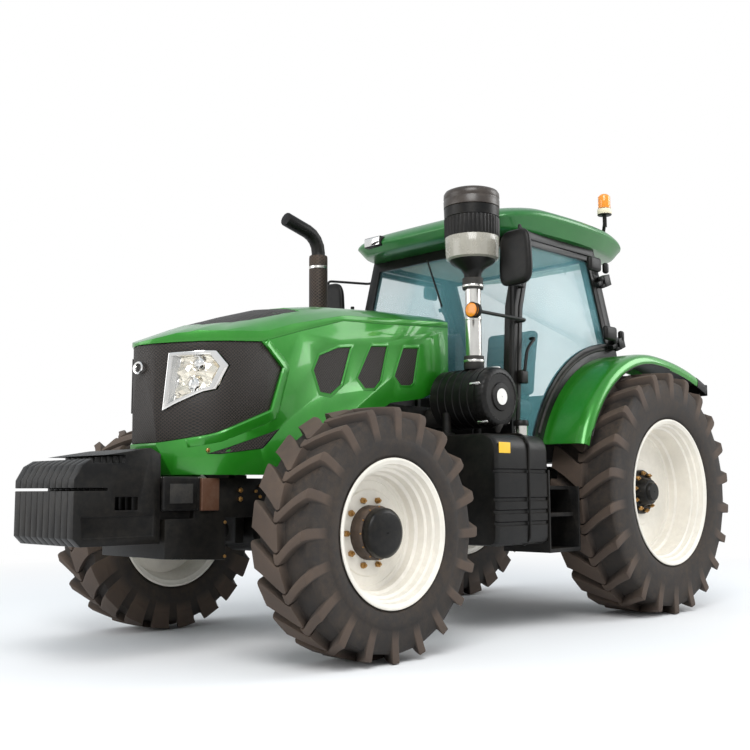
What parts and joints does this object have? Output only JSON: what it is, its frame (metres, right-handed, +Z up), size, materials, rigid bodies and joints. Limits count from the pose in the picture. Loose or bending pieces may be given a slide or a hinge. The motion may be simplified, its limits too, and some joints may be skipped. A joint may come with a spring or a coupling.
{
  "type": "farm tractor",
  "caption": "Row-crop farm tractor with a sloping opening hood, glazed cab, deep-lugged tyres, front weights, side tanks, tall exhaust and a rear three-point hitch.",
  "frame": {"origin": "on the ground, on the centre plane, midway between the front and rear axles", "axes": "+X forwards, +Y to the driver's left, +Z up"},
  "size_m": [5.44, 2.337, 3.04],
  "materials": {
    "body_green": "gloss",
    "roof_green": "gloss",
    "rim_cream": "satin",
    "hub_black": "satin",
    "hub_cast": "dusty",
    "tyre": "dusty matte",
    "chassis_black": "satin",
    "chassis_brown": "satin",
    "engine_grey": "satin",
    "cab_black": "satin",
    "glass": "clear",
    "lamp_clear": "clear",
    "black_plastic": "satin",
    "black_rubber": "matte",
    "amber": "gloss",
    "red_lens": "gloss",
    "white_plastic": "satin",
    "chrome": "polished",
    "steel": "brushed",
    "gold_zinc": "satin",
    "seat_fabric": "woven",
    "liner_beige": "matte",
    "mirror_face": "polished"
  },
  "bodies": {
    "chassis": {"air_cleaner": "black_plastic", "amber_lamps": "amber", "battery_box": "black_plastic", "cab_floor": "cab_black", "cab_frame": "cab_black", "cab_hinges": "cab_black", "dash": "black_plastic", "drawbar": "chassis_black", "drive_shaft": "steel", "engine": "engine_grey", "exhaust": "chassis_black", "fenders": "body_green", "front_axle_beam": "chassis_black", "front_frame": "chassis_black", "front_weights": "chassis_black", "fuel_tank": "black_plastic", "grab_rails": "chassis_black", "intake_pipe": "steel", "lamp_brackets": "chassis_black", "mirrors": "black_plastic", "pre_cleaner": "black_plastic", "roof": "roof_green", "seat_back": "seat_fabric", "seat_base": "black_plastic", "seat_cushion": "seat_fabric", "steps": "chassis_black", "tail_lamps": "red_lens", "transmission": "chassis_black", "windshield": "glass"},
    "wheel_front_left": {"tyre_front_left": "tyre", "rim_front_left": "rim_cream", "hub_front_left": "hub_black"},
    "wheel_front_right": {"tyre_front_right": "tyre", "rim_front_right": "rim_cream", "hub_front_right": "hub_black"},
    "wheel_rear_left": {"tyre_rear_left": "tyre", "rim_rear_left": "rim_cream", "hub_rear_left": "hub_cast"},
    "wheel_rear_right": {"tyre_rear_right": "tyre", "rim_rear_right": "rim_cream", "hub_rear_right": "hub_cast"},
    "hood": {"hood_top": "body_green", "hood_sides": "body_green", "grille": "black_plastic", "headlights": "lamp_clear"},
    "door_left": {"door_left": "cab_black", "door_glass_left": "glass"},
    "door_right": {"door_right": "cab_black", "door_glass_right": "glass"},
    "rear_window": {"rear_window": "glass"},
    "knuckle_left": {"knuckle_left": "chassis_black"},
    "knuckle_right": {"knuckle_right": "chassis_black"},
    "tie_rod": {"tie_rod": "steel"},
    "steering_wheel": {"steering_wheel": "black_plastic"},
    "lift_arms": {"lift_arms": "chassis_black"},
    "lower_links": {"lower_links": "chassis_black"},
    "lift_rods": {"lift_rods": "steel"},
    "top_link": {"top_link": "steel"}
  },
  "joints": [
    {"name": "steer_left", "type": "hinge", "parent": "chassis", "child": "knuckle_left", "pos_m": [1.4, 0.72, 0.645], "axis": [0, 0, 1], "range_deg": [-35, 35]},
    {"name": "steer_right", "type": "hinge", "parent": "chassis", "child": "knuckle_right", "pos_m": [1.4, -0.72, 0.645], "axis": [0, 0, 1], "range_deg": [-36, 36]},
    {"name": "tie_rod_swing", "type": "hinge", "parent": "knuckle_left", "child": "tie_rod", "pos_m": [1.2, 0.72, 0.559], "axis": [0, 0, 1], "range_deg": [-36, 36]},
    {"name": "spin_front_left", "type": "hinge", "parent": "knuckle_left", "child": "wheel_front_left", "pos_m": [1.4, 0.96, 0.645], "axis": [0, 1, 0], "continuous": true},
    {"name": "spin_front_right", "type": "hinge", "parent": "knuckle_right", "child": "wheel_front_right", "pos_m": [1.4, -0.96, 0.645], "axis": [0, 1, 0], "continuous": true},
    {"name": "spin_rear_left", "type": "hinge", "parent": "chassis", "child": "wheel_rear_left", "pos_m": [-1.4, 0.935, 0.84], "axis": [0, 1, 0], "continuous": true},
    {"name": "spin_rear_right", "type": "hinge", "parent": "chassis", "child": "wheel_rear_right", "pos_m": [-1.4, -0.935, 0.84], "axis": [0, 1, 0], "continuous": true},
    {"name": "door_left_open", "type": "hinge", "parent": "chassis", "child": "door_left", "pos_m": [-1.37, 0.76, 1.895], "axis": [0.3569, 0, 0.9342], "range_deg": [0, 70]},
    {"name": "door_right_open", "type": "hinge", "parent": "chassis", "child": "door_right", "pos_m": [-1.37, -0.76, 1.895], "axis": [-0.3569, 0, -0.9342], "range_deg": [0, 70]},
    {"name": "hood_open", "type": "hinge", "parent": "chassis", "child": "hood", "pos_m": [0.17, 0, 1.85], "axis": [0, -1, 0], "range_deg": [0, 45]},
    {"name": "rear_window_open", "type": "hinge", "parent": "chassis", "child": "rear_window", "pos_m": [-1.21, 0, 2.532], "axis": [0, 1, 0], "range_deg": [0, 50]},
    {"name": "steering_wheel_turn", "type": "hinge", "parent": "chassis", "child": "steering_wheel", "pos_m": [-0.52, 0, 1.70043], "axis": [-0.5, 0, 0.866], "continuous": true},
    {"name": "lift_arms_swing", "type": "hinge", "parent": "chassis", "child": "lift_arms", "pos_m": [-1.63, 0, 0.96], "axis": [0, 1, 0], "range_deg": [-15, 30]},
    {"name": "lower_links_swing", "type": "hinge", "parent": "chassis", "child": "lower_links", "pos_m": [-1.67, 0, 0.52], "axis": [0, 1, 0], "range_deg": [-11, 21]},
    {"name": "lift_rods_swing", "type": "hinge", "parent": "lift_arms", "child": "lift_rods", "pos_m": [-1.95, 0, 0.95], "axis": [0, 1, 0], "range_deg": [-31, 16]},
    {"name": "top_link_swing", "type": "hinge", "parent": "chassis", "child": "top_link", "pos_m": [-1.755, 0, 0.88], "axis": [0, 1, 0], "range_deg": [-66, 24]}
  ],
  "couplings": [
    {"joint": "steer_right", "follows": "steer_left", "ratio": 1},
    {"joint": "tie_rod_swing", "follows": "steer_left", "ratio": -1},
    {"joint": "lower_links_swing", "follows": "lift_arms_swing", "ratio": 0.6845},
    {"joint": "lift_rods_swing", "follows": "lift_arms_swing", "ratio": -0.9924}
  ]
}
